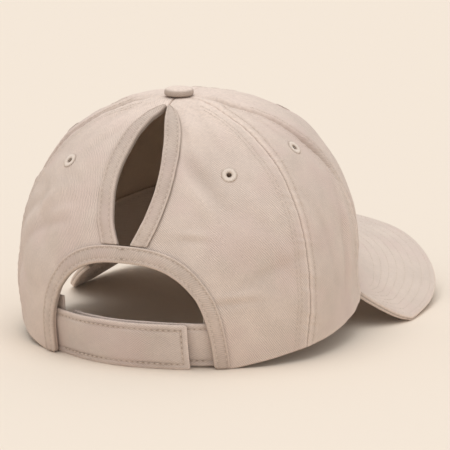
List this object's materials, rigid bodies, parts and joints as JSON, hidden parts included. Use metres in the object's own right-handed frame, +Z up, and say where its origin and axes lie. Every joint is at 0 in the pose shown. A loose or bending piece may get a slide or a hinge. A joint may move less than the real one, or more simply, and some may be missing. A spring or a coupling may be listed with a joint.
{
  "type": "ponytail baseball cap",
  "caption": "Cotton baseball cap with curved visor, bound back arch with closing strap, and a bound teardrop opening above it for a high ponytail.",
  "frame": {"origin": "middle of the cap's box, on the surface that it rests on", "axes": "+Z up through the top button, -Y out along the visor, +X to the wearer's left"},
  "size_m": [0.196, 0.2594, 0.1308],
  "materials": {
    "crown_cotton": "washed cotton twill",
    "visor_cotton": "washed cotton twill over a stiff board, with rows of stitching",
    "binding_tape": "cotton tape, folded and stitched",
    "strap_cotton": "cotton twill, folded and stitched",
    "sweatband_cotton": "soft cotton band",
    "eyelet_thread": "satin-stitched thread",
    "hook_and_loop": "woven hook-and-loop fastener"
  },
  "bodies": {
    "root": {"panel_front_left": "crown_cotton", "panel_front_right": "crown_cotton", "panel_side_left": "crown_cotton", "panel_side_right": "crown_cotton", "panel_back_left": "crown_cotton", "panel_back_right": "crown_cotton", "eyelet_front_left": "eyelet_thread", "eyelet_front_right": "eyelet_thread", "eyelet_side_left": "eyelet_thread", "eyelet_side_right": "eyelet_thread", "eyelet_back_left": "eyelet_thread", "eyelet_back_right": "eyelet_thread", "top_button": "crown_cotton", "visor": "visor_cotton", "sweatband": "sweatband_cotton", "arch_binding": "binding_tape", "teardrop_binding_left": "binding_tape", "teardrop_binding_right": "binding_tape", "strap_outer": "strap_cotton", "strap_inner": "strap_cotton", "hook_and_loop_patch": "hook_and_loop"}
  },
  "joints": []
}
